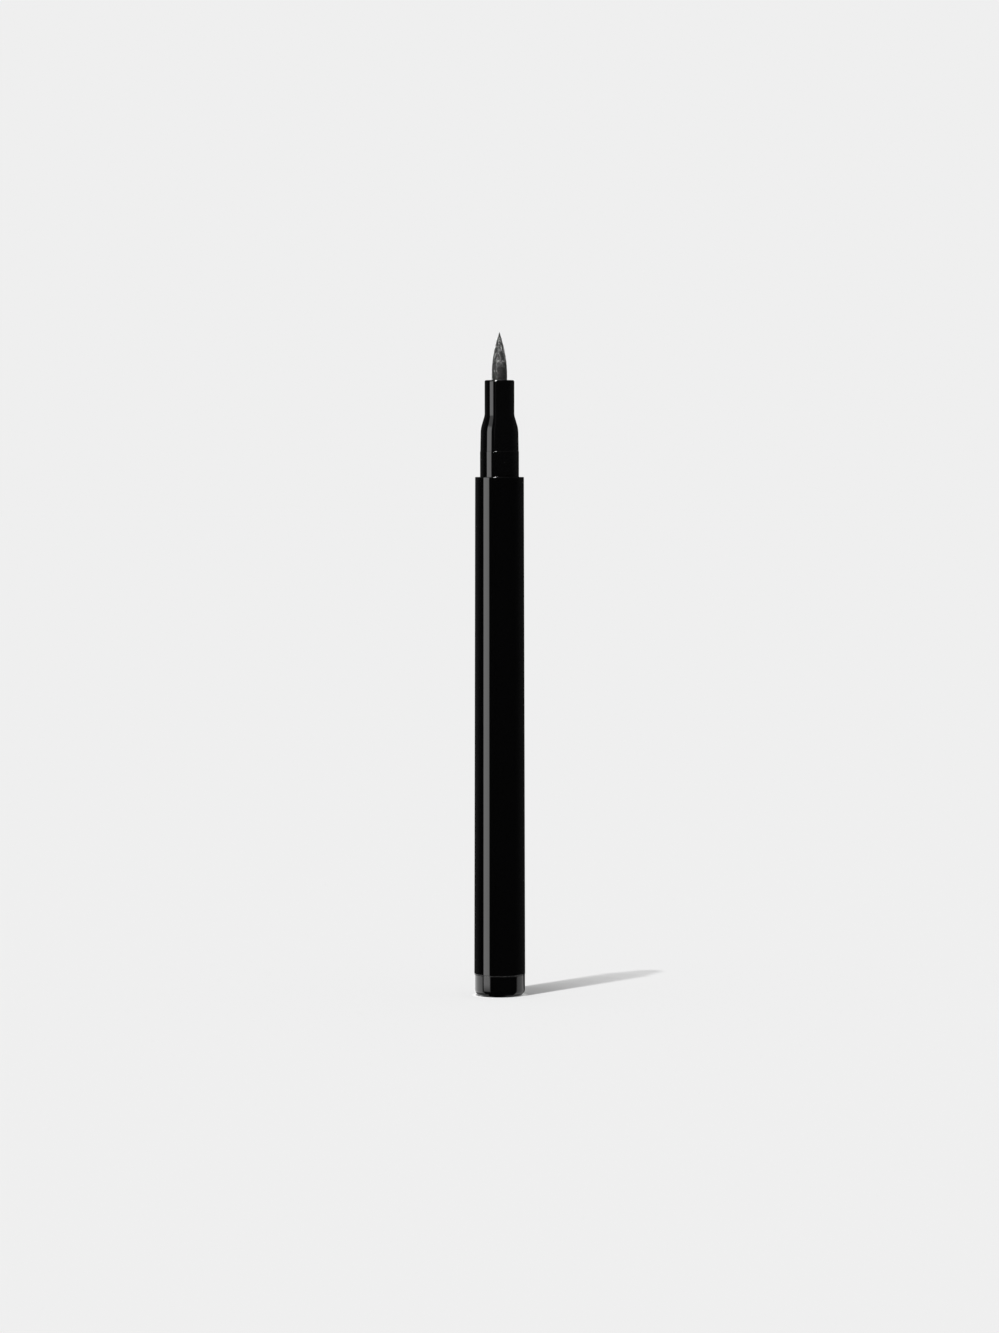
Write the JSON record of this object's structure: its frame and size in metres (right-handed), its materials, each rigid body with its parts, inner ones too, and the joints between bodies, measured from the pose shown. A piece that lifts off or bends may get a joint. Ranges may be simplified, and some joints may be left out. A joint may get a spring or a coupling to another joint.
{
  "type": "liquid eyeliner pen",
  "caption": "Slim uncapped liquid liner pen with a long tapered barrel, stepped neck, pointed felt nib and a flush rounded tail plug.",
  "frame": {"origin": "centre of the foot under the tail plug", "axes": "+Z along the pen's axis from the foot to the nib's tip; +X is the side with the collector's air slot"},
  "size_m": [0.01, 0.01, 0.1302],
  "materials": {
    "barrel_gloss_black": "polished deep black",
    "plug_gloss_black": "polished black",
    "section_gloss_black": "polished black",
    "natural_tank_plastic": "natural, slightly milky",
    "ball_steel": "ground",
    "stopper_plastic": "moulded, natural white",
    "seal_rubber": "smooth",
    "collector_plastic": "moulded, ink-stained",
    "feed_fibre": "bonded fibre soaked with ink",
    "sleeve_plastic": "extruded, natural",
    "holder_plastic": "moulded, natural white",
    "nib_felt": "pressed felt soaked with dark ink"
  },
  "bodies": {
    "pen": {"barrel": "barrel_gloss_black", "tail_plug": "plug_gloss_black", "ink_tank": "natural_tank_plastic", "tank_stopper": "stopper_plastic", "tank_seal_ring": "seal_rubber", "front_section": "section_gloss_black", "ink_collector": "collector_plastic", "feed_rod": "feed_fibre", "feed_sleeve": "sleeve_plastic", "nib_holder": "holder_plastic", "nib": "nib_felt"},
    "mixing_ball": {"mixing_ball": "ball_steel"}
  },
  "joints": [
    {"name": "ball_travel", "type": "slide", "parent": "pen", "child": "mixing_ball", "axis": [0, 0, 1], "range_m": [0, 0.0632]}
  ]
}
